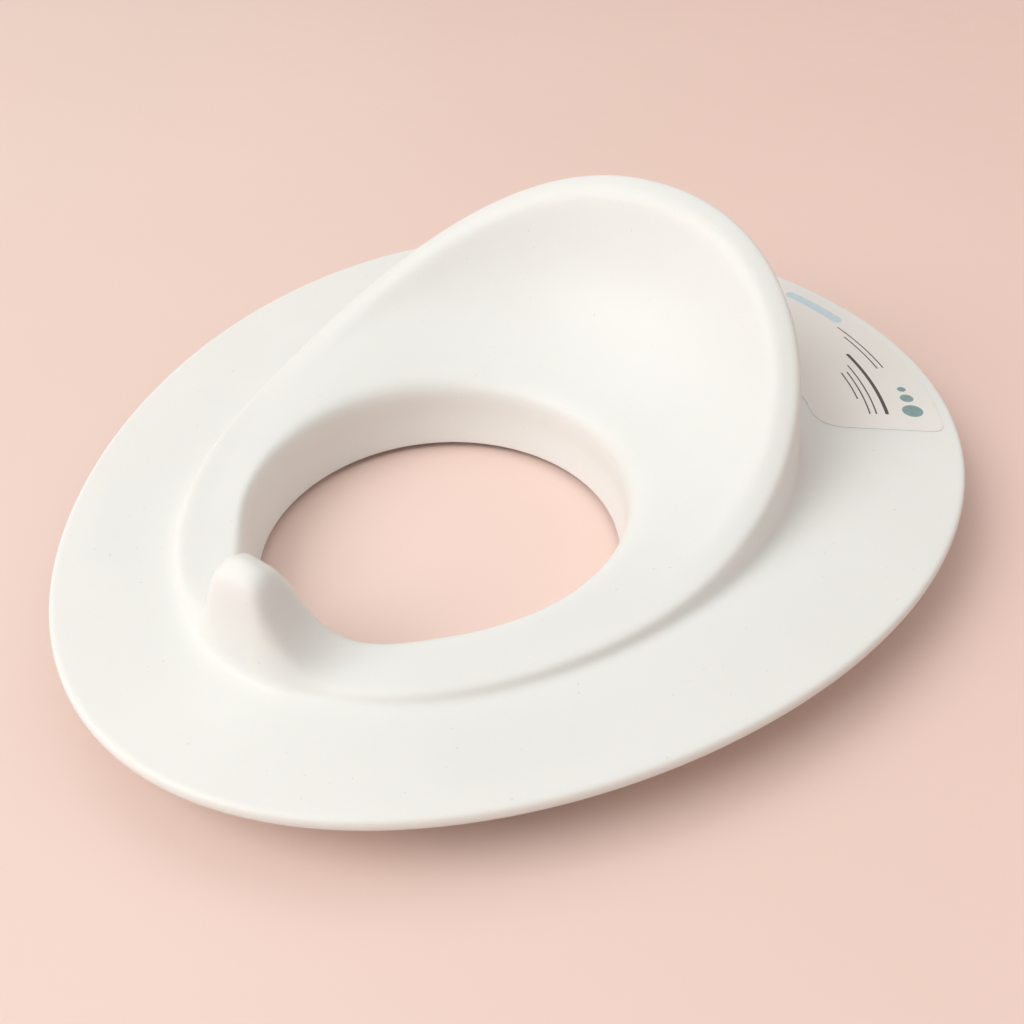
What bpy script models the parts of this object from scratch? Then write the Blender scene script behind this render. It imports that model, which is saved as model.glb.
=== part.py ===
"""Toilet seat reducer for a child, in metres, +Z up.

The front of the seat, with its splash guard, points along -Y and the backrest stands at +Y.
The origin is under the middle of the brim, level with the lower edges of the ribs.
A turn is an angle about the seat, counted from the back, so half a turn is the front.
"""
import math

import bmesh
import bpy
from mathutils import Vector

# The brim, a flat egg-shaped plate that lies over the big toilet seat
BRIM_LENGTH = 0.385
BRIM_WIDTH = 0.324
BRIM_EGG_SHARE = 0.124
BRIM_HEIGHT = 0.025
EDGE_DEPTH = 0.0042
EDGE_ROUND = 0.0026
BEAD_WIDTH = 0.0038
WALL = 0.0026

# The child's opening, with a sleeve that hangs down inside it
HOLE_LENGTH_SHARE = 0.3662
HOLE_WIDTH_SHARE = 0.4151
HOLE_FORWARD_SHARE = 0.1268
HOLE_EGG_SHARE = 0.02
SLEEVE_RISE = 0.003
SLEEVE_DRAFT = 0.0011
SLEEVE_STRAIGHT = 0.002
SLEEVE_TOP_DROP = 0.008
LIP_ROUND = 0.0088

# The raised seat ring and the backrest that grows out of it
RIM_LENGTH_SHARE = 0.627
RIM_WIDTH_SHARE = 0.6562
RIM_FORWARD_SHARE = 0.0444
RIM_EGG_SHARE = 0.095
RIM_FULLNESS_SHARE = 0.937
LIP_RISE = 0.0062
LIP_FRONT_DROP = 0.003
RING_RISE = 0.005
RING_FRONT_DROP = 0.0015
BACKREST_RISE = 0.0685
BACKREST_END_TURN = math.radians(120)
BACKREST_FADE_POWER = 1.35
BAND_WIDTH = 0.012
BAND_MOST_SHARE = 0.38
BAND_DROP = 0.0035
RIM_ROUND = 0.0048
BAND_ROUND = 0.0055
BOWL_ROUND = 0.034
BOWL_REACH_SHARE = 0.72
BOWL_BACK_RISE_SHARE = 0.2
BOWL_SIDE_RISE_SHARE = 0.62

# The outer wall between the rim and the brim
FOOT_STEP = 0.0008
FOOT_ROUND = 0.0026
FRONT_SWELL = 0.0078
FRONT_SKIRT = 0.0028
FRONT_FADE_POWER = 6.0
WALL_DRAFT_SHARE = 0.1
WALL_ROUND_SHARE = 0.12

# The splash guard, a horn at the front of the opening with flared flanks
GUARD_RISE = 0.0322
GUARD_CROWN = 0.0015
GUARD_BAND_SHARE = 0.42
GUARD_TOP_WIDTH = 0.0165
GUARD_SPREAD_SHARE = 0.25
GUARD_WIDTH = 0.1
GUARD_SHOULDER = 0.003
GUARD_LIP_POWER = 4.1
GUARD_RIM_POWER = 5.6
GUARD_LEAN = 0.0115
GUARD_LEAN_WIDTH = 0.096
GUARD_ROUND = 0.0068
GUARD_RIM_ROUND = 0.0112
GUARD_REACH_SHARE = 0.7
GUARD_EASE = 0.0012

# How finely the shell is divided
COLUMNS = 96
FRONT_CROWDING_SHARE = 0.6
LIP_STEPS = 3
BOWL_STEPS = 4
BAND_STEPS = 2
RIM_STEPS = 2
FOOT_STEPS = 3
EDGE_STEPS = 2
STRAIGHT_SHARE = 0.96
LEAST_ROUND = 0.0003
CORNER_SEGMENTS = 4
CORNER_PROFILE_SHARE = 0.5
SMOOTH_ANGLE = math.radians(35)

# Ribs under the seat, whose outer ends centre it in the big seat
RIB_COUNT = 14
RIB_THICKNESS = 0.0024
RIB_START = 0.045
RIB_SETBACK = 0.009
RIB_STEP = 0.0008

# Grip pads under the brim, each in a shallow frame
PAD_LENGTH = 0.046
PAD_WIDTH = 0.015
PAD_THICKNESS = 0.0052
PAD_CORNER = 0.004
PAD_GAP = 0.0003
PAD_TURNS = (math.radians(46), math.radians(136))
PAD_PLACE_SHARE = 0.52
SMALL_TURN = math.radians(1)
FRAME_WALL = 0.0014
FRAME_DEPTH = 0.003
GROOVE_WIDTH = 0.0014
GROOVE_DEPTH = 0.0012
GROOVE_COUNT = 5

# The film label on the back of the brim
LABEL_THICKNESS = 0.00018
LABEL_GAP = 0.0003
LABEL_START_TURN = math.radians(-12)
LABEL_END_TURN = math.radians(55)
LABEL_INNER_END_TURN = math.radians(44.2)
LABEL_EDGE_MARGIN = 0.0058
LABEL_FOOT_MARGIN = 0.0006
LABEL_CORNER = 0.005
LABEL_INNER_CORNER = 0.012
LABEL_STEPS = 22

# How far cutters reach past what they cut
OVERRUN = 0.004


def clear_scene():
    """Remove whatever objects the file holds."""
    for old in list(bpy.data.objects):
        bpy.data.objects.remove(old, do_unlink=True)


def make_collection(name):
    group = bpy.data.collections.new(name)
    bpy.context.scene.collection.children.link(group)
    return group


def make_material(name, colour, roughness):
    material = bpy.data.materials.new(name)
    material.use_nodes = True
    shader = material.node_tree.nodes["Principled BSDF"]
    shader.inputs["Base Color"].default_value = (*colour, 1.0)
    shader.inputs["Roughness"].default_value = roughness
    shader.inputs["Metallic"].default_value = 0.0
    material.diffuse_color = (*colour, 1.0)
    return material


def make_object(name, bm, group, material=None):
    """Turn a bmesh into an object, smooth apart from its sharp edges."""
    bmesh.ops.recalc_face_normals(bm, faces=bm.faces)
    mesh = bpy.data.meshes.new(name)
    bm.to_mesh(mesh)
    bm.free()
    thing = bpy.data.objects.new(name, mesh)
    group.objects.link(thing)
    mesh.shade_smooth()
    mesh.set_sharp_from_angle(angle=SMOOTH_ANGLE)
    if material is not None:
        mesh.materials.append(material)
    return thing


def make_cutter(name, bm, group):
    cutter = make_object(name, bm, group)
    cutter.hide_render = True
    cutter.display_type = 'WIRE'
    return cutter


def add_boolean(thing, other, operation):
    step = thing.modifiers.new(other.name, 'BOOLEAN')
    step.operation = operation
    step.solver = 'EXACT'
    step.object = other


# Outlines seen from above

def egg(width, length, middle_y, egg_share, turn, fullness_share=1.0):
    """A point on an egg whose blunt end is at the back."""
    lean = egg_share * 4
    widest_cosine = (math.sqrt(1 + lean * egg_share * 2) - 1) / lean
    widest = math.sqrt(1 - widest_cosine ** 2) ** fullness_share * (1 + egg_share * widest_cosine)
    side = math.copysign(abs(math.sin(turn)) ** fullness_share, math.sin(turn))
    x = width / 2 * side * (1 + egg_share * math.cos(turn)) / widest
    return Vector((x, middle_y + length / 2 * math.cos(turn), 0))


def hole_at(turn, grow=0.0):
    width = BRIM_WIDTH * HOLE_WIDTH_SHARE + 2 * grow
    length = BRIM_LENGTH * HOLE_LENGTH_SHARE + 2 * grow
    return egg(width, length, -BRIM_LENGTH * HOLE_FORWARD_SHARE, HOLE_EGG_SHARE, turn)


def rim_at(turn, grow=0.0):
    width = BRIM_WIDTH * RIM_WIDTH_SHARE + 2 * grow
    length = BRIM_LENGTH * RIM_LENGTH_SHARE + 2 * grow
    middle_y = -BRIM_LENGTH * RIM_FORWARD_SHARE
    return egg(width, length, middle_y, RIM_EGG_SHARE, turn, RIM_FULLNESS_SHARE)


def brim_at(turn, grow=0.0):
    return egg(BRIM_WIDTH + 2 * grow, BRIM_LENGTH + 2 * grow, 0, BRIM_EGG_SHARE, turn)


# How the shape changes around the seat, each from 0 to 1

def blend(plain, full, share):
    return plain + (full - plain) * share


def backrest_part(turn):
    """1 at the back, falling to 0 where the backrest has died away into the ring."""
    away = abs(math.remainder(turn, math.tau))
    if away >= BACKREST_END_TURN:
        return 0.0
    return ((1 + math.cos(math.pi * away / BACKREST_END_TURN)) / 2) ** BACKREST_FADE_POWER


def front_part(turn):
    return ((1 - math.cos(turn)) / 2) ** FRONT_FADE_POWER


def guard_part(turn, x, outward_share):
    """1 over the flat top of the splash guard, flaring down to 0 at its flanks' ends.

    The top spreads on its way from the lip out to the rim.
    """
    if math.cos(turn) > 0:
        return 0.0
    top = GUARD_TOP_WIDTH / 2 * (1 + GUARD_SPREAD_SHARE * outward_share)
    past = abs(x) - top
    past = (past + math.hypot(past, GUARD_SHOULDER)) / 2
    power = blend(GUARD_LIP_POWER, GUARD_RIM_POWER, outward_share)
    return max(1 - past / (GUARD_WIDTH / 2 - top), 0) ** power


def lean_part(turn):
    """1 where the guard leans out most, 0 well beyond its flanks."""
    away = min(abs(hole_at(turn).x) / (GUARD_LEAN_WIDTH / 2), 1)
    if math.cos(turn) > 0:
        return 0.0
    return (1 + math.cos(math.pi * away)) / 2


# Heights of the section's corners above the floor

def ring_height(turn):
    return RING_RISE + BACKREST_RISE * backrest_part(turn) - RING_FRONT_DROP * front_part(turn)


def raised(point, height):
    return Vector((point.x, point.y, height))


def rim_corner(turn):
    """The outer top corner of the ring, before the guard lifts it."""
    outward = FRONT_SWELL * front_part(turn)
    return raised(rim_at(turn, outward), BRIM_HEIGHT + ring_height(turn))


def foot_at(turn):
    """Where the outer wall would meet the brim if it had no fillet."""
    step = FOOT_STEP + (FRONT_SWELL + FRONT_SKIRT) * front_part(turn) + WALL_DRAFT_SHARE * ring_height(turn)
    return raised(rim_at(turn, step), BRIM_HEIGHT)


def foot_round(turn):
    return FOOT_ROUND + FRONT_SKIRT * front_part(turn) + WALL_ROUND_SHARE * ring_height(turn)


def section_corners(turn):
    """The upper surface in one section: corner, rounding length and rounding steps."""
    back = backrest_part(turn)
    lip_height = BRIM_HEIGHT + LIP_RISE - LIP_FRONT_DROP * front_part(turn)
    lip = raised(hole_at(turn, SLEEVE_DRAFT + GUARD_LEAN * lean_part(turn)), lip_height)
    rim = rim_corner(turn)
    across = raised(rim - lip, 0)
    most_share = blend(BAND_MOST_SHARE, GUARD_BAND_SHARE, guard_part(turn, rim.x, 1))
    band = across * min(BAND_WIDTH / across.length, most_share)
    inner = raised(rim - band, rim.z - BAND_DROP * back)
    rise_share = blend(BOWL_SIDE_RISE_SHARE, BOWL_BACK_RISE_SHARE, back)
    reach_share = blend(BOWL_REACH_SHARE, GUARD_REACH_SHARE, guard_part(turn, inner.x, 1))
    bowl = raised(lip.lerp(inner, reach_share), blend(lip.z, inner.z, rise_share))
    guard_shares = []
    for corner in (lip, bowl, inner, rim):
        outward_share = (corner - lip).xy.length / across.length
        guard_shares.append(guard_part(turn, corner.x, outward_share))
        corner.z += GUARD_RISE * guard_shares[-1]
    lip_share, bowl_share, inner_share, rim_share = guard_shares
    bowl.z += GUARD_CROWN * bowl_share
    inner.z += GUARD_CROWN * inner_share
    sleeve = hole_at(turn)
    sleeve_top = raised(hole_at(turn, SLEEVE_DRAFT), BRIM_HEIGHT - SLEEVE_TOP_DROP)
    edge = raised(brim_at(turn), BRIM_HEIGHT)
    return [
        (raised(sleeve, SLEEVE_RISE), 0, 0),
        (raised(sleeve, SLEEVE_RISE + SLEEVE_STRAIGHT), 0, 0),
        (sleeve_top, 0, 0),
        (lip, blend(LIP_ROUND, GUARD_ROUND, lip_share), LIP_STEPS),
        (bowl, blend(BOWL_ROUND, GUARD_EASE, bowl_share), BOWL_STEPS),
        (inner, blend(BAND_ROUND, GUARD_EASE, inner_share), BAND_STEPS),
        (rim, blend(RIM_ROUND, GUARD_RIM_ROUND, rim_share), RIM_STEPS),
        (foot_at(turn), foot_round(turn), FOOT_STEPS),
        (edge, EDGE_ROUND, EDGE_STEPS),
        (raised(edge, BRIM_HEIGHT - EDGE_DEPTH), 0, 0),
    ]


def corners_at_depth(turn, depth):
    """The section's corners moved into the wall, so that every straight steps in by the depth."""
    corners = section_corners(turn)
    up = Vector((0, 0, 1))
    across = raised(rim_at(turn) - hole_at(turn), 0).normalized()
    normals = []
    for here, there in zip(corners, corners[1:]):
        along = there[0] - here[0]
        normals.append((up * across.dot(along) - across * along.z).normalized())
    moved = []
    for index, (corner, length, steps) in enumerate(corners):
        before = normals[max(index - 1, 0)]
        after = normals[min(index, len(normals) - 1)]
        opening = 1 + before.dot(after)
        half_bend = before.cross(after).dot(up.cross(across)) / opening
        place = corner - (before + after) / opening * depth
        moved.append((place, max(length - half_bend * depth, LEAST_ROUND), steps))
    return moved


def shared_rounding(first, second, room):
    """Rounding lengths at the two ends of one straight: the shorter one is served first."""
    usable = room * STRAIGHT_SHARE
    if first + second <= usable:
        return first, second
    shorter = min(first, second, usable / 2)
    longer = min(max(first, second), usable - shorter)
    if first <= second:
        return shorter, longer
    return longer, shorter


def parabola(start, corner, end, part):
    return start.lerp(corner, part).lerp(corner.lerp(end, part), part)


def rounded_section(corners):
    """Replace each corner by a parabola that starts and ends its rounding length away."""
    straights = []
    for (corner, length, steps), (following, next_length, next_steps) in zip(corners, corners[1:]):
        straights.append(shared_rounding(length, next_length, (following - corner).length))
    points = []
    for index, (corner, length, steps) in enumerate(corners):
        if steps == 0:
            points.append(corner)
            continue
        before = (corners[index - 1][0] - corner).normalized() * straights[index - 1][1]
        after = (corners[index + 1][0] - corner).normalized() * straights[index][0]
        for step in range(steps + 1):
            points.append(parabola(corner + before, corner, corner + after, step / steps))
    return points


def column_turn(column):
    """Columns stand closer together at the front, where the splash guard is."""
    even = math.tau * column / COLUMNS
    return even + FRONT_CROWDING_SHARE * math.sin(even)


def grid_faces(bm, rings):
    """Join rings of points that stand next to each other all round the seat."""
    for here, there in zip(rings, rings[1:] + rings[:1]):
        for row, point in enumerate(here):
            after = (row + 1) % len(here)
            bm.faces.new((point, here[after], there[after], there[row]))


def surface_at_depth(turn, depth):
    """Rows of points from the sleeve's lower edge out to the brim's, inside the wall by a depth."""
    return rounded_section(corners_at_depth(turn, depth))


def shell_solid():
    """The moulded wall: the upper surface, a bead under the brim's edge and the surface below."""
    bm = bmesh.new()
    rings = []
    edge_rows = EDGE_STEPS + 2
    for column in range(COLUMNS):
        turn = column_turn(column)
        upper = surface_at_depth(turn, 0)
        bead = [
            raised(brim_at(turn, -BEAD_WIDTH + EDGE_DEPTH - WALL), BRIM_HEIGHT - EDGE_DEPTH),
            raised(brim_at(turn, -BEAD_WIDTH), BRIM_HEIGHT - WALL),
        ]
        lower = surface_at_depth(turn, WALL)[:-edge_rows]
        rings.append([bm.verts.new(point) for point in upper + bead + lower[::-1]])
    grid_faces(bm, rings)
    return bm


def foot_row():
    """Number of the row where the outer wall begins to round out onto the brim."""
    rounded = (LIP_STEPS, BOWL_STEPS, BAND_STEPS, RIM_STEPS)
    return 3 + sum(rounded) + len(rounded)


def under_seat_core():
    """A closed ring that fills the hollow under the seat, up to the middle of the wall.

    Its lower inner corner is stepped back, so that no rib shows under the sleeve's edge.
    """
    bm = bmesh.new()
    rings = []
    for column in range(COLUMNS):
        turn = column_turn(column)
        middle = surface_at_depth(turn, WALL / 2)[:foot_row() + 1]
        middle[0] = raised(middle[0], SLEEVE_RISE + RIB_STEP)
        middle.append(raised(middle[-1], -OVERRUN))
        middle.append(raised(hole_at(turn, RIB_SETBACK), -OVERRUN))
        middle.append(raised(hole_at(turn, RIB_SETBACK), SLEEVE_RISE + RIB_STEP))
        rings.append([bm.verts.new(point) for point in middle])
    grid_faces(bm, rings)
    return bm


def add_block(bm, size, middle, turn=0.0):
    """Add a box of a given size, turned about its own upright axis."""
    verts = bmesh.ops.create_cube(bm, size=1)["verts"]
    for vert in verts:
        x = vert.co.x * size[0]
        y = vert.co.y * size[1]
        vert.co.x = middle.x + x * math.cos(turn) - y * math.sin(turn)
        vert.co.y = middle.y + x * math.sin(turn) + y * math.cos(turn)
        vert.co.z = middle.z + vert.co.z * size[2]
    return verts


def add_rounded_block(bm, size, middle, turn, corner):
    """A box whose upright edges are rounded."""
    verts = add_block(bm, size, middle, turn)
    edges = {edge for vert in verts for edge in vert.link_edges}
    upright = [edge for edge in edges if abs(edge.verts[0].co.z - edge.verts[1].co.z) > size[2] / 2]
    bm.normal_update()
    rounding = {"offset": corner, "segments": CORNER_SEGMENTS, "profile": CORNER_PROFILE_SHARE}
    bmesh.ops.bevel(bm, geom=upright, affect='EDGES', **rounding)


def rib_slabs():
    """Upright slabs that stand around the opening like spokes, up past the backrest."""
    bm = bmesh.new()
    reach = BRIM_LENGTH / 2 - RIB_START
    height = BRIM_HEIGHT + RING_RISE + BACKREST_RISE + GUARD_RISE
    hole_middle_y = -BRIM_LENGTH * HOLE_FORWARD_SHARE
    for rib in range(RIB_COUNT):
        turn = math.tau * rib / RIB_COUNT
        along = RIB_START + reach / 2
        middle = Vector((math.sin(turn) * along, hole_middle_y + math.cos(turn) * along, height / 2))
        add_block(bm, (RIB_THICKNESS, reach, height), middle, -turn)
    return bm


def pad_places():
    """Middle and direction of each grip pad, with its name."""
    places = []
    for end, turn in zip(("rear", "front"), PAD_TURNS):
        for side, sign in (("left", -1), ("right", 1)):
            around = sign * turn
            inside = foot_at(around)
            outside = brim_at(around)
            middle = inside.lerp(outside, PAD_PLACE_SHARE)
            along = brim_at(around + SMALL_TURN) - brim_at(around - SMALL_TURN)
            places.append((end + "_" + side, middle, math.atan2(along.y, along.x)))
    return places


def pad_blocks(grow, low, high):
    """All pads' outlines, grown sideways by a margin, between two heights."""
    bm = bmesh.new()
    for name, middle, turn in pad_places():
        size = (PAD_LENGTH + 2 * grow, PAD_WIDTH + 2 * grow, high - low)
        add_rounded_block(bm, size, raised(middle, (low + high) / 2), turn, PAD_CORNER + grow)
    return bm


def build_seat_shell(group, cutters, material):
    """The moulded seat in one piece, with its ribs and the frames that hold the pads."""
    shell = make_object("seat_shell", shell_solid(), group, material)
    core = make_cutter("under_seat_core", under_seat_core(), cutters)
    ribs = make_cutter("ribs", rib_slabs(), cutters)
    add_boolean(ribs, core, 'INTERSECT')
    add_boolean(shell, ribs, 'UNION')

    under = BRIM_HEIGHT - WALL
    low = under - FRAME_DEPTH
    outside = pad_blocks(PAD_GAP + FRAME_WALL, low, under + WALL / 2)
    inside = pad_blocks(PAD_GAP, low - OVERRUN, under + OVERRUN)
    frames = make_cutter("pad_frames", outside, cutters)
    pockets = make_cutter("pad_pockets", inside, cutters)
    add_boolean(frames, pockets, 'DIFFERENCE')
    add_boolean(shell, frames, 'UNION')
    return shell


def build_pads(group, cutters, material):
    """Four soft grip pads, with grooves across their lower face."""
    top = BRIM_HEIGHT - WALL - PAD_GAP
    low = top - PAD_THICKNESS
    for name, middle, turn in pad_places():
        bm = bmesh.new()
        size = (PAD_LENGTH, PAD_WIDTH, PAD_THICKNESS)
        add_rounded_block(bm, size, raised(middle, (low + top) / 2), turn, PAD_CORNER)
        pad = make_object("grip_pad_" + name, bm, group, material)
        grooves = bmesh.new()
        pitch = PAD_LENGTH / (GROOVE_COUNT + 1)
        along = Vector((math.cos(turn), math.sin(turn), 0))
        for groove in range(GROOVE_COUNT):
            place = middle + along * pitch * (groove - (GROOVE_COUNT - 1) / 2)
            if groove % 2 == 0:
                deep = GROOVE_DEPTH
            else:
                deep = GROOVE_DEPTH / 2
            size = (GROOVE_WIDTH, PAD_WIDTH + 2 * OVERRUN, 2 * deep)
            add_block(grooves, size, raised(place, low), turn)
        cutter = make_cutter("grooves_" + name, grooves, cutters)
        add_boolean(pad, cutter, 'DIFFERENCE')


def label_inner(turn):
    foot_step = (foot_at(turn) - rim_at(turn)).xy.length
    return rim_at(turn, foot_step + foot_round(turn) + LABEL_FOOT_MARGIN)


def turns_between(start, end):
    return [start + (end - start) * step / LABEL_STEPS for step in range(LABEL_STEPS + 1)]


def shortened(points, length):
    """A row of points with a length taken off its end."""
    kept = list(points)
    while (kept[-1] - kept[-2]).length < length:
        length -= (kept[-1] - kept[-2]).length
        kept.pop()
    share = length / (kept[-1] - kept[-2]).length
    kept[-1] = kept[-1].lerp(kept[-2], share)
    return kept


def label_outline():
    """The film's edge from above, with its four corners rounded."""
    outer = [brim_at(turn, -LABEL_EDGE_MARGIN) for turn in turns_between(LABEL_START_TURN, LABEL_END_TURN)]
    inner = [label_inner(turn) for turn in turns_between(LABEL_INNER_END_TURN, LABEL_START_TURN)]
    sides = [outer, [outer[-1], inner[0]], inner, [inner[-1], outer[0]]]
    rounds = [LABEL_CORNER, LABEL_INNER_CORNER, LABEL_CORNER, LABEL_CORNER]
    cut_sides = []
    for side, round_before, round_after in zip(sides, rounds[-1:] + rounds, rounds):
        cut = shortened(side, round_after)
        cut_sides.append(shortened(cut[::-1], round_before)[::-1])
    points = []
    for side, cut, following in zip(sides, cut_sides, cut_sides[1:] + cut_sides[:1]):
        points.extend(cut)
        for step in range(1, CORNER_SEGMENTS):
            points.append(parabola(cut[-1], side[-1], following[0], step / CORNER_SEGMENTS))
    return points


def build_label(group, material):
    """A thin film that follows the brim's edge behind the backrest."""
    low = BRIM_HEIGHT + LABEL_GAP
    bm = bmesh.new()
    bm.faces.new([bm.verts.new(raised(point, low)) for point in label_outline()])
    faces = list(bm.faces)
    lifted = bmesh.ops.extrude_face_region(bm, geom=faces)["geom"]
    moved = [item for item in lifted if isinstance(item, bmesh.types.BMVert)]
    bmesh.ops.translate(bm, verts=moved, vec=Vector((0, 0, LABEL_THICKNESS)))
    make_object("product_label", bm, group, material)


def build():
    clear_scene()
    parts = make_collection("toilet_seat_reducer")
    cutters = make_collection("cutters")
    white = make_material("white_moulded_plastic", (0.905, 0.9, 0.872), 0.34)
    rubber = make_material("soft_grip_rubber", (0.62, 0.64, 0.65), 0.75)
    film = make_material("label_film", (0.87, 0.87, 0.85), 0.28)
    build_seat_shell(parts, cutters, white)
    build_pads(parts, cutters, rubber)
    build_label(parts, film)


build()
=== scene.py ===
"""The looks of the toilet seat reducer, over its CAD frame, in metres, +Z up.

The seat is drawn finer than its solid, from the same sizes. The front points along -Y.
A turn is an angle about the seat, counted from the back, so half a turn is the front.
"""
import math

import bmesh
import bpy
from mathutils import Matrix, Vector


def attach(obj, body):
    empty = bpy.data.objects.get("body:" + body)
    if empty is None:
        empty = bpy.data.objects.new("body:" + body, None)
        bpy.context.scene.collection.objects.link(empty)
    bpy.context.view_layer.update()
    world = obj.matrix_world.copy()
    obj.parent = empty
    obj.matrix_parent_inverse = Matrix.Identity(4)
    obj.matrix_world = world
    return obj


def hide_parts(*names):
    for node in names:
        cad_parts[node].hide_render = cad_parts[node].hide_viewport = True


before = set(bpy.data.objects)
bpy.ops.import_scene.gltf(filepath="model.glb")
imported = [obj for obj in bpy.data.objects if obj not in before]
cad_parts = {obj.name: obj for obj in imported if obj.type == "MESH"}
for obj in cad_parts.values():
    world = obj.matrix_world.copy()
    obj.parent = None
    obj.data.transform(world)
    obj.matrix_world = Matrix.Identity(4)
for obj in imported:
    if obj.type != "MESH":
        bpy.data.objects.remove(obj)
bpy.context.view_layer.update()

# The brim
BRIM_LENGTH = 0.385
BRIM_WIDTH = 0.324
BRIM_EGG_SHARE = 0.124
BRIM_HEIGHT = 0.025
EDGE_DEPTH = 0.0042
EDGE_ROUND = 0.0032
BEAD_WIDTH = 0.0038
BEAD_ROUND = 0.0012
WALL = 0.0026

# The child's opening and its sleeve
HOLE_LENGTH = 0.141
HOLE_WIDTH = 0.1345
HOLE_MIDDLE_Y = -0.0488
HOLE_EGG_SHARE = 0.02
SLEEVE_RISE = 0.003
SLEEVE_DRAFT = 0.0011
SLEEVE_EDGE = 0.0008
SLEEVE_STRAIGHT = 0.002
SLEEVE_TOP_DROP = 0.008
LIP_ROUND = 0.0105

# The ring and the backrest
RIM_LENGTH = 0.2414
RIM_WIDTH = 0.2126
RIM_MIDDLE_Y = -0.0171
RIM_EGG_SHARE = 0.095
RIM_FULLNESS_SHARE = 0.937
LIP_RISE = 0.0062
LIP_FRONT_DROP = 0.003
RING_RISE = 0.005
RING_FRONT_DROP = 0.0015
BACKREST_RISE = 0.0685
BACKREST_END_TURN = math.radians(120)
BACKREST_FADE_POWER = 1.35
BAND_WIDTH = 0.012
BAND_MOST_SHARE = 0.38
BAND_DROP = 0.0035
RIM_ROUND = 0.006
BAND_ROUND = 0.007
BOWL_ROUND = 0.042
BOWL_REACH_SHARE = 0.72
BOWL_BACK_RISE_SHARE = 0.2
BOWL_SIDE_RISE_SHARE = 0.62

# The outer wall
FOOT_STEP = 0.0008
FOOT_ROUND = 0.0032
FRONT_SWELL = 0.0078
FRONT_SKIRT = 0.0028
FRONT_FADE_POWER = 6.0
WALL_DRAFT_SHARE = 0.1
WALL_ROUND_SHARE = 0.14

# The splash guard
GUARD_RISE = 0.0322
GUARD_CROWN = 0.0025
GUARD_BAND_SHARE = 0.5
GUARD_TOP_WIDTH = 0.0165
GUARD_SPREAD_SHARE = 0.25
GUARD_WIDTH = 0.1
GUARD_SHOULDER = 0.003
GUARD_LIP_POWER = 4.1
GUARD_RIM_POWER = 5.6
GUARD_LEAN = 0.0115
GUARD_LEAN_WIDTH = 0.096
GUARD_ROUND = 0.0085
GUARD_RIM_ROUND = 0.014
GUARD_REACH_SHARE = 0.7
GUARD_EASE = 0.0008

# How finely the seat is drawn
COLUMNS = 288
FRONT_CROWDING_SHARE = 0.6
SLEEVE_STEPS = 3
LIP_STEPS = 10
BOWL_STEPS = 14
BAND_STEPS = 6
RIM_STEPS = 10
FOOT_STEPS = 10
EDGE_STEPS = 6
STRAIGHT_SHARE = 0.96
LEAST_ROUND = 0.0004
SHARP_ANGLE = math.radians(40)
BEVEL_STEPS = 2
BEVEL_PROFILE = 0.5

# Ribs and pad frames underneath
RIB_COUNT = 14
RIB_THICKNESS = 0.0024
RIB_SETBACK = 0.009
RIB_STEP = 0.0008
RIB_EDGE = 0.0006
PAD_LENGTH = 0.046
PAD_WIDTH = 0.015
PAD_CORNER = 0.004
PAD_GAP = 0.0003
PAD_TURNS = (math.radians(46), math.radians(136))
PAD_PLACE_SHARE = 0.52
PAD_EDGE = 0.00035
PAD_CORNER_STEPS = 6
PAD_TANGENT_TURN = math.radians(1)
FRAME_WALL = 0.0014
FRAME_DEPTH = 0.003

# The film label on the back of the brim
LABEL_START_TURN = math.radians(-12)
LABEL_END_TURN = math.radians(55)
LABEL_INNER_END_TURN = math.radians(44.2)
LABEL_EDGE_MARGIN = 0.0058
LABEL_FOOT_MARGIN = 0.0006
LABEL_CORNER = 0.005
LABEL_INNER_CORNER = 0.012
LABEL_STEPS = 60
LABEL_CORNER_STEPS = 10
LABEL_GAP = 0.0001
LABEL_THICKNESS = 0.00015
INK_THICKNESS = 0.00002
CAP_STEPS = 8

# Printed shapes: turns in degrees, distance in from the brim's edge, width
DARK_RULES = ((33, 50.5, 0.026, 0.0015), (36, 50.5, 0.0302, 0.0006), (38, 50.5, 0.0328, 0.0006),
              (38, 46, 0.0354, 0.0006), (25, 38, 0.0165, 0.0006), (28, 38, 0.0191, 0.0006))
BLUE_RULES = ((13, 23, 0.0125, 0.0052),)
TEAL_DISCS = ((50, 0.0155, 0.0085), (46.7, 0.0155, 0.0056), (44.3, 0.0155, 0.0036))

# The camera, as fitted to the photo's outlines
CAMERA_PLACE = Vector((0.2074, -0.2877, 0.2831))
CAMERA_AZIMUTH = math.radians(35.986)
CAMERA_ELEVATION = math.radians(39.683)
SENSOR_WIDTH = 36.0
LENS = 38.67
CLIP_START = 0.01

# The lamps: name, place, side, watts, colour
LAMPS = (
    ("key", (-0.85, -1.55, 1.75), 1.9, 42, (0.99, 0.992, 0.975)),
    ("back", (1.3, 1.2, 2.0), 2.0, 5, (1.0, 0.99, 0.97)),
    ("left", (-1.2, 0.5, 2.4), 1.6, 5, (1.0, 0.99, 0.97)),
)
LAMP_TARGET = Vector((0, 0, 0.02))

# The world: what lights the seat from below and from above, and what is seen behind the floor
LOW_LIGHT = (0.62, 0.36, 0.25)
HIGH_LIGHT = (1.0, 0.985, 0.95)
LIGHT_STRENGTH = 0.51
BACKDROP_COLOUR = (0.84, 0.64, 0.55)

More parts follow.
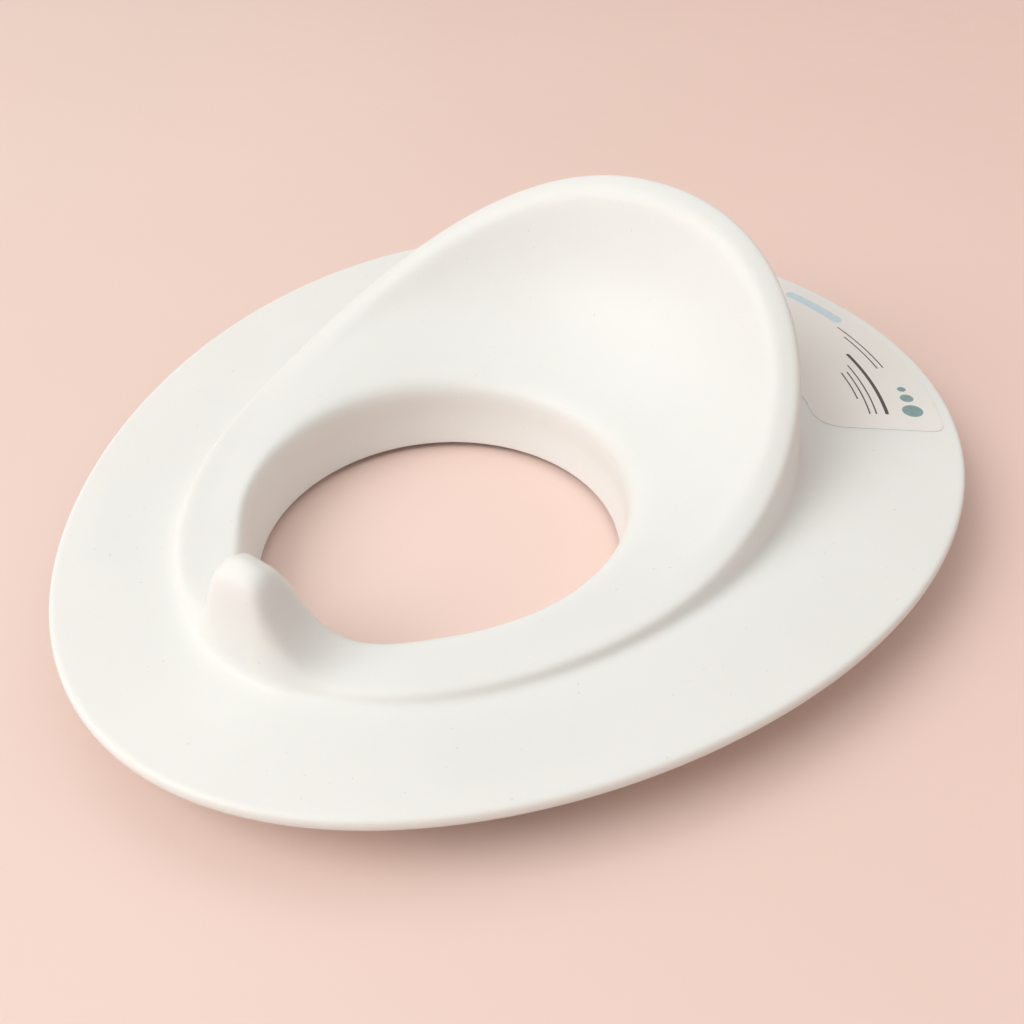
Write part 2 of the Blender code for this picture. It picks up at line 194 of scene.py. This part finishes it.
# Colours in pairs, between which each surface varies
PLASTIC_COLOURS = ((0.852, 0.872, 0.848), (0.875, 0.895, 0.873))
SPECK_COLOUR = (0.47, 0.45, 0.42)
RUBBER_COLOURS = ((0.36, 0.37, 0.38), (0.45, 0.455, 0.455))
FILM_COLOURS = ((0.85, 0.845, 0.82), (0.872, 0.867, 0.84))
DARK_INK_COLOURS = ((0.045, 0.045, 0.05), (0.09, 0.09, 0.095))
TEAL_INK_COLOURS = ((0.2, 0.345, 0.345), (0.26, 0.4, 0.4))
BLUE_INK_COLOURS = ((0.57, 0.72, 0.8), (0.63, 0.76, 0.83))
# Floor colours from left to right across the view: the rosier right end is painted light falloff, standing in
# for the weaker light there
FLOOR_COLOURS_WITH_PAINTED_FALLOFF = ((0.875, 0.7, 0.632), (0.935, 0.69, 0.625))
FLOOR_TINTS = ((0.975, 0.96, 0.955), (1.0, 1.0, 1.0))
SUBSURFACE_WEIGHT = 0.25
SUBSURFACE_RADIUS = (0.006, 0.005, 0.004)
FLOOR_REACH = 4
WHOLE = 1.0

UP = Vector((0, 0, 1))
HOLE_MIDDLE = Vector((0, HOLE_MIDDLE_Y, 0))


# Outlines seen from above

def egg(width, length, middle_y, egg_share, turn, fullness_share=1.0):
    """A point on an egg whose blunt end is at the back."""
    lean = egg_share * 4
    widest_cosine = (math.sqrt(1 + lean * egg_share * 2) - 1) / lean
    widest = math.sqrt(1 - widest_cosine ** 2) ** fullness_share * (1 + egg_share * widest_cosine)
    side = math.copysign(abs(math.sin(turn)) ** fullness_share, math.sin(turn))
    x = width / 2 * side * (1 + egg_share * math.cos(turn)) / widest
    return Vector((x, middle_y + length / 2 * math.cos(turn), 0))


def hole_at(turn, grow=0.0):
    return egg(HOLE_WIDTH + 2 * grow, HOLE_LENGTH + 2 * grow, HOLE_MIDDLE_Y, HOLE_EGG_SHARE, turn)


def rim_at(turn, grow=0.0):
    width = RIM_WIDTH + 2 * grow
    return egg(width, RIM_LENGTH + 2 * grow, RIM_MIDDLE_Y, RIM_EGG_SHARE, turn, RIM_FULLNESS_SHARE)


def brim_at(turn, grow=0.0):
    return egg(BRIM_WIDTH + 2 * grow, BRIM_LENGTH + 2 * grow, 0, BRIM_EGG_SHARE, turn)


# How the section changes around the seat

def blend(plain, full, share):
    """The plain value at share 0, the full value at share 1."""
    return plain + (full - plain) * share


def raised(point, height):
    return Vector((point.x, point.y, height))


def backrest_part(turn):
    """1 at the back, fading to 0 where the backrest ends."""
    away = abs(math.remainder(turn, math.tau))
    if away >= BACKREST_END_TURN:
        return 0.0
    return ((1 + math.cos(math.pi * away / BACKREST_END_TURN)) / 2) ** BACKREST_FADE_POWER


def front_part(turn):
    """1 at the front, fading fast to the sides."""
    return ((1 - math.cos(turn)) / 2) ** FRONT_FADE_POWER


def guard_part(turn, x, outward):
    """1 over the flat top of the splash guard, flaring down to 0 at its flanks' ends."""
    if math.cos(turn) > 0:
        return 0.0
    top = GUARD_TOP_WIDTH / 2 * (1 + GUARD_SPREAD_SHARE * outward)
    past = abs(x) - top
    past = (past + math.hypot(past, GUARD_SHOULDER)) / 2
    power = blend(GUARD_LIP_POWER, GUARD_RIM_POWER, outward)
    return max(1 - past / (GUARD_WIDTH / 2 - top), 0) ** power


def lean_part(turn):
    """1 where the guard leans out most, 0 well beyond its flanks."""
    away = min(abs(hole_at(turn).x) / (GUARD_LEAN_WIDTH / 2), 1)
    if math.cos(turn) > 0:
        return 0.0
    return (1 + math.cos(math.pi * away)) / 2


def ring_height(turn):
    """The rim's height over the brim, without the splash guard."""
    return RING_RISE + BACKREST_RISE * backrest_part(turn) - RING_FRONT_DROP * front_part(turn)


def foot_at(turn):
    """Where the outer wall meets the brim."""
    step = FOOT_STEP + (FRONT_SWELL + FRONT_SKIRT) * front_part(turn) + WALL_DRAFT_SHARE * ring_height(turn)
    return raised(rim_at(turn, step), BRIM_HEIGHT)


def foot_round(turn):
    return FOOT_ROUND + FRONT_SKIRT * front_part(turn) + WALL_ROUND_SHARE * ring_height(turn)


def section_corners(turn):
    """The upper surface in one section: corner, rounding length and rounding steps."""
    back = backrest_part(turn)
    lip_height = BRIM_HEIGHT + LIP_RISE - LIP_FRONT_DROP * front_part(turn)
    lip = raised(hole_at(turn, SLEEVE_DRAFT + GUARD_LEAN * lean_part(turn)), lip_height)
    rim = raised(rim_at(turn, FRONT_SWELL * front_part(turn)), BRIM_HEIGHT + ring_height(turn))
    across = raised(rim - lip, 0)
    rim_share = guard_part(turn, rim.x, 1)
    band = across * min(BAND_WIDTH / across.length, blend(BAND_MOST_SHARE, GUARD_BAND_SHARE, rim_share))
    inner = raised(rim - band, rim.z - BAND_DROP * back)
    rise_share = blend(BOWL_SIDE_RISE_SHARE, BOWL_BACK_RISE_SHARE, back)
    reach_share = blend(BOWL_REACH_SHARE, GUARD_REACH_SHARE, guard_part(turn, inner.x, 1))
    bowl = raised(lip.lerp(inner, reach_share), blend(lip.z, inner.z, rise_share))
    shares = []
    for corner in (lip, bowl, inner, rim):
        outward = (corner - lip).xy.length / across.length
        shares.append(guard_part(turn, corner.x, outward))
        corner.z += GUARD_RISE * shares[-1]
    lip_share, bowl_share, inner_share, rim_share = shares
    bowl.z += GUARD_CROWN * bowl_share
    inner.z += GUARD_CROWN * inner_share
    sleeve_top = raised(hole_at(turn, SLEEVE_DRAFT), BRIM_HEIGHT - SLEEVE_TOP_DROP)
    edge = raised(brim_at(turn), BRIM_HEIGHT)
    return [
        (raised(hole_at(turn), SLEEVE_RISE), 0, 0),
        (raised(hole_at(turn), SLEEVE_RISE + SLEEVE_STRAIGHT), SLEEVE_EDGE, SLEEVE_STEPS),
        (sleeve_top, SLEEVE_EDGE, SLEEVE_STEPS),
        (lip, blend(LIP_ROUND, GUARD_ROUND, lip_share), LIP_STEPS),
        (bowl, blend(BOWL_ROUND, GUARD_EASE, bowl_share), BOWL_STEPS),
        (inner, blend(BAND_ROUND, GUARD_EASE, inner_share), BAND_STEPS),
        (rim, blend(RIM_ROUND, GUARD_RIM_ROUND, rim_share), RIM_STEPS),
        (foot_at(turn), foot_round(turn), FOOT_STEPS),
        (edge, EDGE_ROUND, EDGE_STEPS),
        (raised(edge, BRIM_HEIGHT - EDGE_DEPTH), 0, 0),
    ]


def corners_at_depth(turn, depth):
    """The section's corners moved into the wall, so that every straight steps in by the depth."""
    corners = section_corners(turn)
    across = raised(rim_at(turn) - hole_at(turn), 0).normalized()
    normals = []
    for here, there in zip(corners, corners[1:]):
        along = there[0] - here[0]
        normals.append((UP * across.dot(along) - across * along.z).normalized())
    moved = []
    for index, (corner, length, steps) in enumerate(corners):
        before = normals[max(index - 1, 0)]
        after = normals[min(index, len(normals) - 1)]
        opening = 1 + before.dot(after)
        half_bend = before.cross(after).dot(UP.cross(across)) / opening
        place = corner - (before + after) / opening * depth
        moved.append((place, max(length - half_bend * depth, LEAST_ROUND), steps))
    return moved


def shared_rounding(first, second, room):
    """Rounding lengths at the two ends of one straight: the shorter one is served first."""
    usable = room * STRAIGHT_SHARE
    if first + second <= usable:
        return first, second
    shorter = min(first, second, usable / 2)
    longer = min(max(first, second), usable - shorter)
    if first <= second:
        return shorter, longer
    return longer, shorter


def eased_corner(start, corner, end, part):
    """A point on a curve that leaves and meets both straights without a jump in its bend."""
    points = [start, start.lerp(corner, 0.5), corner, corner.lerp(end, 0.5), end]
    while len(points) > 1:
        points = [here.lerp(there, part) for here, there in zip(points, points[1:])]
    return points[0]


def rounded_section(corners):
    """The section's points, with its corners eased."""
    straights = []
    for (corner, length, _), (following, next_length, _) in zip(corners, corners[1:]):
        straights.append(shared_rounding(length, next_length, (following - corner).length))
    points = []
    for index, (corner, length, steps) in enumerate(corners):
        if steps == 0:
            points.append(corner)
            continue
        before = (corners[index - 1][0] - corner).normalized() * straights[index - 1][1]
        after = (corners[index + 1][0] - corner).normalized() * straights[index][0]
        for step in range(steps + 1):
            points.append(eased_corner(corner + before, corner, corner + after, step / steps))
    return points


def column_turn(column):
    """The turn of one section. The sections stand closer at the front, where the guard is."""
    even = math.tau * column / COLUMNS
    return even + FRONT_CROWDING_SHARE * math.sin(even)


def surface_at_depth(turn, depth):
    return rounded_section(corners_at_depth(turn, depth))


# Mesh helpers

def new_object(name, bm):
    mesh = bpy.data.meshes.new(name)
    bm.to_mesh(mesh)
    bm.free()
    thing = bpy.data.objects.new(name, mesh)
    bpy.context.scene.collection.objects.link(thing)
    return thing


def finished(name, bm, material):
    """A piece with its normals, shading and material, riding on the only body."""
    bmesh.ops.recalc_face_normals(bm, faces=bm.faces)
    thing = new_object(name, bm)
    thing.data.shade_smooth()
    thing.data.set_sharp_from_angle(angle=SHARP_ANGLE)
    thing.data.materials.append(material)
    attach(thing, "root")
    return thing


def faces_between(bm, here, there):
    """Faces from one closed loop of points to the next."""
    for number, point in enumerate(here):
        after = (number + 1) % len(here)
        bm.faces.new((point, here[after], there[after], there[number]))


# The pieces

def bead_points(turn):
    """The small bead that thickens the brim's edge from below."""
    outer = raised(brim_at(turn), BRIM_HEIGHT - EDGE_DEPTH)
    foot = raised(brim_at(turn, -BEAD_WIDTH + EDGE_DEPTH - WALL), BRIM_HEIGHT - EDGE_DEPTH)
    root = raised(brim_at(turn, -BEAD_WIDTH), BRIM_HEIGHT - WALL)
    inward = (foot - outer).normalized()
    points = []
    for step in range(EDGE_STEPS + 1):
        part = step / EDGE_STEPS
        points.append(eased_corner(outer + UP * BEAD_ROUND, outer, outer + inward * BEAD_ROUND, part))
    return points + [foot, foot.lerp(root, 0.5), root]


def build_shell(material):
    """The moulded wall, drawn as one closed skin."""
    bm = bmesh.new()
    rings = []
    edge_rows = EDGE_STEPS + 2
    for column in range(COLUMNS):
        turn = column_turn(column)
        upper = surface_at_depth(turn, 0)[:-1]
        lower = surface_at_depth(turn, WALL)[:-edge_rows]
        rings.append([bm.verts.new(point) for point in upper + bead_points(turn) + lower[::-1]])
    for here, there in zip(rings, rings[1:] + rings[:1]):
        faces_between(bm, here, there)
    shell = finished("moulded_shell", bm, material)
    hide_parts("seat_shell")


def rib_outline(sections, out):
    """Where one rib's plane meets the middle of the wall, as distance and height."""
    side = UP.cross(out)
    foot_row = len(sections[0]) - (EDGE_STEPS + 1) - (FOOT_STEPS + 1) - 1
    outline = []
    for row in range(foot_row + 1):
        for here, there in zip(sections, sections[1:] + sections[:1]):
            first = here[row] - HOLE_MIDDLE
            second = there[row] - HOLE_MIDDLE
            before = first.dot(side)
            after = second.dot(side)
            if before * after > 0 or first.dot(out) < 0 or before == after:
                continue
            crossing = first.lerp(second, before / (before - after))
            outline.append((crossing.dot(out), crossing.z))
            break
    return outline


def build_ribs(material):
    """Upright plates like spokes, each up to the middle of the wall above it."""
    sections = [surface_at_depth(column_turn(column), WALL / 2) for column in range(COLUMNS)]
    bm = bmesh.new()
    for rib in range(RIB_COUNT):
        turn = math.tau * rib / RIB_COUNT
        out = Vector((math.sin(turn), math.cos(turn), 0))
        rib_plate(bm, rib_outline(sections, out), out)
    finished("locating_ribs", bm, material)


def rib_plate(bm, outline, out):
    """One plate under an outline, set back below the sleeve, with eased lower edges."""
    inner = outline[0][0]
    outer = outline[-1][0]
    step = SLEEVE_RISE + RIB_STEP
    upper = [point for point in outline if point[1] > step]
    corners = [(outer, 0), (inner + RIB_SETBACK, 0), (inner + RIB_SETBACK, step), (upper[0][0], step)] + upper
    start = HOLE_MIDDLE - UP.cross(out) * RIB_THICKNESS / 2
    verts = [bm.verts.new(start + out * along + UP * height) for along, height in corners]
    face = bm.faces.new(verts)
    moved = bmesh.ops.extrude_face_region(bm, geom=[face])["geom"]
    far = [item for item in moved if isinstance(item, bmesh.types.BMVert)]
    bmesh.ops.translate(bm, verts=far, vec=UP.cross(out) * RIB_THICKNESS)
    bm.normal_update()
    edges = []
    for vert in verts + far:
        for edge in vert.link_edges:
            if all(end.co.z < RIB_STEP / 2 for end in edge.verts) and edge not in edges:
                edges.append(edge)
    bmesh.ops.bevel(bm, geom=edges, offset=RIB_EDGE, segments=BEVEL_STEPS, profile=BEVEL_PROFILE,
                    affect='EDGES')


def pad_places():
    """The middle of each pad and the direction of its length."""
    places = []
    for turn in PAD_TURNS:
        for sign in (-1, 1):
            around = sign * turn
            middle = foot_at(around).lerp(brim_at(around), PAD_PLACE_SHARE)
            along = brim_at(around + PAD_TANGENT_TURN) - brim_at(around - PAD_TANGENT_TURN)
            places.append((middle, math.atan2(along.y, along.x)))
    return places


def rounded_outline(length, width, corner, middle, turn):
    """Points of a rectangle with round corners."""
    points = []
    for quarter in range(4):
        x_sign = (1, -1, -1, 1)[quarter]
        y_sign = (1, 1, -1, -1)[quarter]
        for step in range(PAD_CORNER_STEPS + 1):
            angle = math.pi / 2 * (quarter + step / PAD_CORNER_STEPS)
            x = x_sign * (length / 2 - corner) + corner * math.cos(angle)
            y = y_sign * (width / 2 - corner) + corner * math.sin(angle)
            points.append(Vector((
                middle.x + x * math.cos(turn) - y * math.sin(turn),
                middle.y + x * math.sin(turn) + y * math.cos(turn),
                0,
            )))
    return points


def build_frames(material):
    """Shallow walls around the pads."""
    bm = bmesh.new()
    top = BRIM_HEIGHT - WALL / 2
    low = BRIM_HEIGHT - WALL - FRAME_DEPTH
    for middle, turn in pad_places():
        profile = [
            (PAD_GAP, top), (PAD_GAP, low + RIB_EDGE), (PAD_GAP + RIB_EDGE, low),
            (PAD_GAP + FRAME_WALL - RIB_EDGE, low), (PAD_GAP + FRAME_WALL, low + RIB_EDGE),
            (PAD_GAP + FRAME_WALL, top),
        ]
        loops = []
        for grow, height in profile:
            length = PAD_LENGTH + 2 * grow
            width = PAD_WIDTH + 2 * grow
            outline = rounded_outline(length, width, PAD_CORNER + grow, middle, turn)
            loops.append([bm.verts.new(raised(point, height)) for point in outline])
        for here, there in zip(loops, loops[1:]):
            faces_between(bm, here, there)
    finished("pad_frames", bm, material)


def dress_pads(material):
    """The pads keep their solids, with their edges eased."""
    for name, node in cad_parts.items():
        if not name.startswith("grip_pad"):
            continue
        bevel = node.modifiers.new("eased edges", 'BEVEL')
        bevel.width = PAD_EDGE
        bevel.segments = BEVEL_STEPS
        bevel.limit_method = 'ANGLE'
        bevel.angle_limit = SHARP_ANGLE
        node.data.materials.clear()
        node.data.materials.append(material)


def turns_between(start, end):
    return [start + (end - start) * step / LABEL_STEPS for step in range(LABEL_STEPS + 1)]


def label_inner(turn):
    """The film's edge beside the outer wall's foot."""
    foot_step = (foot_at(turn) - rim_at(turn)).xy.length
    return rim_at(turn, foot_step + foot_round(turn) + LABEL_FOOT_MARGIN)


def shortened(points, length):
    """A row of points with a length taken off its end."""
    kept = list(points)
    while (kept[-1] - kept[-2]).length < length:
        length -= (kept[-1] - kept[-2]).length
        kept.pop()
    kept[-1] = kept[-1].lerp(kept[-2], length / (kept[-1] - kept[-2]).length)
    return kept


def label_outline():
    """The film's edge from above, with its four corners rounded."""
    outer = [brim_at(turn, -LABEL_EDGE_MARGIN) for turn in turns_between(LABEL_START_TURN, LABEL_END_TURN)]
    inner = [label_inner(turn) for turn in turns_between(LABEL_INNER_END_TURN, LABEL_START_TURN)]
    sides = [outer, [outer[-1], inner[0]], inner, [inner[-1], outer[0]]]
    rounds = [LABEL_CORNER, LABEL_INNER_CORNER, LABEL_CORNER, LABEL_CORNER]
    cut_sides = []
    for side, round_before, round_after in zip(sides, rounds[-1:] + rounds, rounds):
        cut = shortened(side, round_after)
        cut_sides.append(shortened(cut[::-1], round_before)[::-1])
    points = []
    for side, cut, following in zip(sides, cut_sides, cut_sides[1:] + cut_sides[:1]):
        points.extend(cut)
        for step in range(1, LABEL_CORNER_STEPS):
            part = step / LABEL_CORNER_STEPS
            points.append(cut[-1].lerp(side[-1], part).lerp(side[-1].lerp(following[0], part), part))
    return points


def thin_plate(bm, points, low, thickness):
    """A closed sheet over an outline."""
    lower = [bm.verts.new(raised(point, low)) for point in points]
    upper = [bm.verts.new(raised(point, low + thickness)) for point in points]
    bm.faces.new(upper)
    bm.faces.new(lower[::-1])
    faces_between(bm, lower, upper)


def stripe_outline(points, width):
    """Points around a row of points, half a width away, with round ends."""
    left = []
    right = []
    for number, point in enumerate(points):
        along = (points[min(number + 1, len(points) - 1)] - points[max(number - 1, 0)]).normalized()
        side = UP.cross(along) * width / 2
        left.append(point + side)
        right.append(point - side)
    caps = []
    for end, before in ((points[-1], points[-2]), (points[0], points[1])):
        along = (end - before).normalized() * width / 2
        side = UP.cross(along)
        cap = []
        for step in range(1, CAP_STEPS):
            angle = math.pi * step / CAP_STEPS
            cap.append(end + side * math.cos(angle) + along * math.sin(angle))
        caps.append(cap)
    return left + caps[0] + right[::-1] + caps[1]


def build_label(film, dark, teal, blue):
    """The film and its plain printed shapes."""
    bm = bmesh.new()
    low = BRIM_HEIGHT + LABEL_GAP
    thin_plate(bm, label_outline(), low, LABEL_THICKNESS)
    label = finished("film_label", bm, film)
    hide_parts("product_label")
    low += LABEL_THICKNESS
    for name, rules, material in (("dark_rules", DARK_RULES, dark), ("blue_band", BLUE_RULES, blue)):
        bm = bmesh.new()
        for start, end, inset, width in rules:
            turns = turns_between(math.radians(start), math.radians(end))
            points = [brim_at(turn, -inset) for turn in turns]
            thin_plate(bm, stripe_outline(points, width), low, INK_THICKNESS)
        finished(name, bm, material)
    bm = bmesh.new()
    for turn, inset, across in TEAL_DISCS:
        middle = brim_at(math.radians(turn), -inset)
        thin_plate(bm, rounded_outline(across, across, across / 2, middle, 0), low, INK_THICKNESS)
    finished("teal_discs", bm, teal)


# Materials

def material_with_nodes(name):
    material = bpy.data.materials.new(name)
    material.use_nodes = True
    nodes = material.node_tree.nodes
    return material, nodes, material.node_tree.links, nodes["Principled BSDF"]


def noise(nodes, links, place, scale, detail=4.0, roughness=0.5):
    texture = nodes.new("ShaderNodeTexNoise")
    texture.inputs["Scale"].default_value = scale
    texture.inputs["Detail"].default_value = detail
    texture.inputs["Roughness"].default_value = roughness
    links.new(place, texture.inputs["Vector"])
    return texture.outputs["Fac"]


def ramp(nodes, links, value, colours, low, high):
    low_colour, high_colour = colours
    steps = nodes.new("ShaderNodeValToRGB")
    steps.color_ramp.elements[0].position = low
    steps.color_ramp.elements[0].color = (*low_colour, 1.0)
    steps.color_ramp.elements[1].position = high
    steps.color_ramp.elements[1].color = (*high_colour, 1.0)
    links.new(value, steps.inputs["Fac"])
    return steps.outputs["Color"]


def remap(nodes, links, value, low, high, to_low, to_high):
    change = nodes.new("ShaderNodeMapRange")
    change.inputs["From Min"].default_value = low
    change.inputs["From Max"].default_value = high
    change.inputs["To Min"].default_value = to_low
    change.inputs["To Max"].default_value = to_high
    links.new(value, change.inputs["Value"])
    return change.outputs["Result"]


def mix(nodes, links, factor, first, second, mode='MIX'):
    blend_node = nodes.new("ShaderNodeMix")
    blend_node.data_type = 'RGBA'
    blend_node.blend_type = mode
    if isinstance(factor, float):
        blend_node.inputs["Factor"].default_value = factor
    else:
        links.new(factor, blend_node.inputs["Factor"])
    for socket, colour in (("A", first), ("B", second)):
        target = [item for item in blend_node.inputs if item.name == socket and item.type == 'RGBA'][0]
        if isinstance(colour, tuple):
            target.default_value = (*colour, 1.0)
        else:
            links.new(colour, target)
    return [item for item in blend_node.outputs if item.type == 'RGBA'][0]


def bump(nodes, links, height, distance, normal=None):
    relief = nodes.new("ShaderNodeBump")
    relief.inputs["Strength"].default_value = WHOLE
    relief.inputs["Distance"].default_value = distance
    links.new(height, relief.inputs["Height"])
    if normal is not None:
        links.new(normal, relief.inputs["Normal"])
    return relief.outputs["Normal"]


def plastic_material():
    """Satin white moulded plastic with faint unevenness, specks and scuffs."""
    material, nodes, links, shader = material_with_nodes("white_moulded_plastic")
    place = nodes.new("ShaderNodeTexCoord").outputs["Object"]
    cloudy = noise(nodes, links, place, scale=14, detail=3)
    colour = ramp(nodes, links, cloudy, PLASTIC_COLOURS, low=0.35, high=0.65)
    specks = noise(nodes, links, place, scale=620, detail=1)
    speck_mask = remap(nodes, links, specks, low=0.775, high=0.79, to_low=0, to_high=0.25)
    colour = mix(nodes, links, speck_mask, colour, SPECK_COLOUR)
    links.new(colour, shader.inputs["Base Color"])
    scuffs = noise(nodes, links, place, scale=55, detail=8, roughness=0.7)
    roughness = remap(nodes, links, scuffs, low=0.35, high=0.7, to_low=0.46, to_high=0.58)
    links.new(roughness, shader.inputs["Roughness"])
    grain = noise(nodes, links, place, scale=1500, detail=2)
    waves = noise(nodes, links, place, scale=26, detail=1)
    normal = bump(nodes, links, grain, distance=0.00002)
    normal = bump(nodes, links, waves, distance=0.00025, normal=normal)
    links.new(normal, shader.inputs["Normal"])
    shader.inputs["Subsurface Weight"].default_value = SUBSURFACE_WEIGHT
    shader.inputs["Subsurface Radius"].default_value = SUBSURFACE_RADIUS
    shader.inputs["Subsurface Scale"].default_value = WHOLE
    return material


def rubber_material():
    """Matt grey grip rubber with a fine texture and a little dust."""
    material, nodes, links, shader = material_with_nodes("soft_grip_rubber")
    place = nodes.new("ShaderNodeTexCoord").outputs["Object"]
    dust = noise(nodes, links, place, scale=130, detail=6, roughness=0.65)
    colour = ramp(nodes, links, dust, RUBBER_COLOURS, low=0.4, high=0.7)
    links.new(colour, shader.inputs["Base Color"])
    roughness = remap(nodes, links, dust, low=0.3, high=0.7, to_low=0.68, to_high=0.86)
    links.new(roughness, shader.inputs["Roughness"])
    grain = noise(nodes, links, place, scale=2600, detail=2)
    links.new(bump(nodes, links, grain, distance=0.00006), shader.inputs["Normal"])
    return material


def film_material():
    """Low-gloss label film over the white plastic."""
    material, nodes, links, shader = material_with_nodes("label_film")
    place = nodes.new("ShaderNodeTexCoord").outputs["Object"]
    cloudy = noise(nodes, links, place, scale=30, detail=2)
    colour = ramp(nodes, links, cloudy, FILM_COLOURS, low=0.35, high=0.65)
    links.new(colour, shader.inputs["Base Color"])
    fine = noise(nodes, links, place, scale=90, detail=2)
    roughness = remap(nodes, links, fine, low=0.3, high=0.7, to_low=0.28, to_high=0.34)
    links.new(roughness, shader.inputs["Roughness"])
    links.new(bump(nodes, links, cloudy, distance=0.0001), shader.inputs["Normal"])
    return material


def ink_material(name, colours):
    """Flat printing ink with faint unevenness."""
    material, nodes, links, shader = material_with_nodes(name)
    place = nodes.new("ShaderNodeTexCoord").outputs["Object"]
    worn = noise(nodes, links, place, scale=420, detail=4, roughness=0.6)
    links.new(ramp(nodes, links, worn, colours, low=0.42, high=0.72), shader.inputs["Base Color"])
    roughness = remap(nodes, links, worn, low=0.3, high=0.7, to_low=0.32, to_high=0.46)
    links.new(roughness, shader.inputs["Roughness"])
    return material


def floor_material():
    """Pale peach backdrop card with a soft sheen, a little rosier towards the right: painted light falloff,
    with the card more saturated where the light is weaker.
    """
    material, nodes, links, shader = material_with_nodes("pale_backdrop")
    place = nodes.new("ShaderNodeTexCoord").outputs["Object"]
    across = nodes.new("ShaderNodeVectorMath")
    across.operation = 'DOT_PRODUCT'
    across.inputs[1].default_value = (math.cos(CAMERA_AZIMUTH), math.sin(CAMERA_AZIMUTH), 0)
    links.new(place, across.inputs[0])
    # Painted light falloff: the card turns rosier towards the right, where the light is weaker
    painted_falloff_share = remap(nodes, links, across.outputs["Value"], low=-0.3, high=0.4, to_low=0, to_high=1)
    card = ramp(nodes, links, painted_falloff_share, FLOOR_COLOURS_WITH_PAINTED_FALLOFF, low=0, high=1)
    cloudy = noise(nodes, links, place, scale=2.2, detail=2)
    tint = ramp(nodes, links, cloudy, FLOOR_TINTS, low=0.3, high=0.7)
    links.new(mix(nodes, links, WHOLE, card, tint, 'MULTIPLY'), shader.inputs["Base Color"])
    fine = noise(nodes, links, place, scale=60, detail=5)
    roughness = remap(nodes, links, fine, low=0.3, high=0.7, to_low=0.36, to_high=0.46)
    links.new(roughness, shader.inputs["Roughness"])
    return material


# Room, lights and camera

def build_floor():
    bm = bmesh.new()
    bmesh.ops.create_grid(bm, x_segments=1, y_segments=1, size=FLOOR_REACH)
    floor = new_object("floor", bm)
    floor.data.materials.append(floor_material())


def add_lamp(name, place, side, watts, colour):
    data = bpy.data.lights.new(name, 'AREA')
    data.shape = 'RECTANGLE'
    data.size = side
    data.size_y = side
    data.energy = watts
    data.color = colour
    lamp = bpy.data.objects.new(name, data)
    lamp.location = place
    lamp.rotation_euler = (LAMP_TARGET - Vector(place)).to_track_quat('-Z', 'Y').to_euler()
    bpy.context.scene.collection.objects.link(lamp)


def set_lights():
    for lamp in LAMPS:
        add_lamp(*lamp)
    world = bpy.data.worlds.new("studio")
    bpy.context.scene.world = world
    world.use_nodes = True
    nodes = world.node_tree.nodes
    links = world.node_tree.links
    upward = nodes.new("ShaderNodeSeparateXYZ")
    links.new(nodes.new("ShaderNodeTexCoord").outputs["Generated"], upward.inputs["Vector"])
    sky = ramp(nodes, links, upward.outputs["Z"], (LOW_LIGHT, HIGH_LIGHT), low=0.15, high=0.65)
    lighting = nodes["Background"]
    links.new(sky, lighting.inputs["Color"])
    lighting.inputs["Strength"].default_value = LIGHT_STRENGTH
    backdrop = nodes.new("ShaderNodeBackground")
    backdrop.inputs["Color"].default_value = (*BACKDROP_COLOUR, 1.0)
    backdrop.inputs["Strength"].default_value = WHOLE
    rays = nodes.new("ShaderNodeLightPath")
    seen = rays.outputs["Is Camera Ray"]
    for name in ("Is Glossy Ray", "Is Transmission Ray"):
        either = nodes.new("ShaderNodeMath")
        either.operation = 'MAXIMUM'
        links.new(seen, either.inputs[0])
        links.new(rays.outputs[name], either.inputs[1])
        seen = either.outputs[0]
    choice = nodes.new("ShaderNodeMixShader")
    links.new(seen, choice.inputs[0])
    links.new(lighting.outputs[0], choice.inputs[1])
    links.new(backdrop.outputs[0], choice.inputs[2])
    links.new(choice.outputs[0], nodes["World Output"].inputs["Surface"])


def set_camera():
    data = bpy.data.cameras.new("photo_view")
    data.sensor_width = SENSOR_WIDTH
    data.lens = LENS
    data.clip_start = CLIP_START
    camera = bpy.data.objects.new("photo_view", data)
    camera.location = CAMERA_PLACE
    camera.rotation_euler = (math.pi / 2 - CAMERA_ELEVATION, 0, CAMERA_AZIMUTH)
    bpy.context.scene.collection.objects.link(camera)
    bpy.context.scene.camera = camera


def main():
    plastic = plastic_material()
    build_shell(plastic)
    build_ribs(plastic)
    build_frames(plastic)
    dress_pads(rubber_material())
    dark = ink_material("dark_grey_ink", DARK_INK_COLOURS)
    teal = ink_material("teal_ink", TEAL_INK_COLOURS)
    blue = ink_material("pale_blue_ink", BLUE_INK_COLOURS)
    build_label(film_material(), dark, teal, blue)
    build_floor()
    set_lights()
    set_camera()
    bpy.context.scene.view_settings.view_transform = 'Standard'


main()
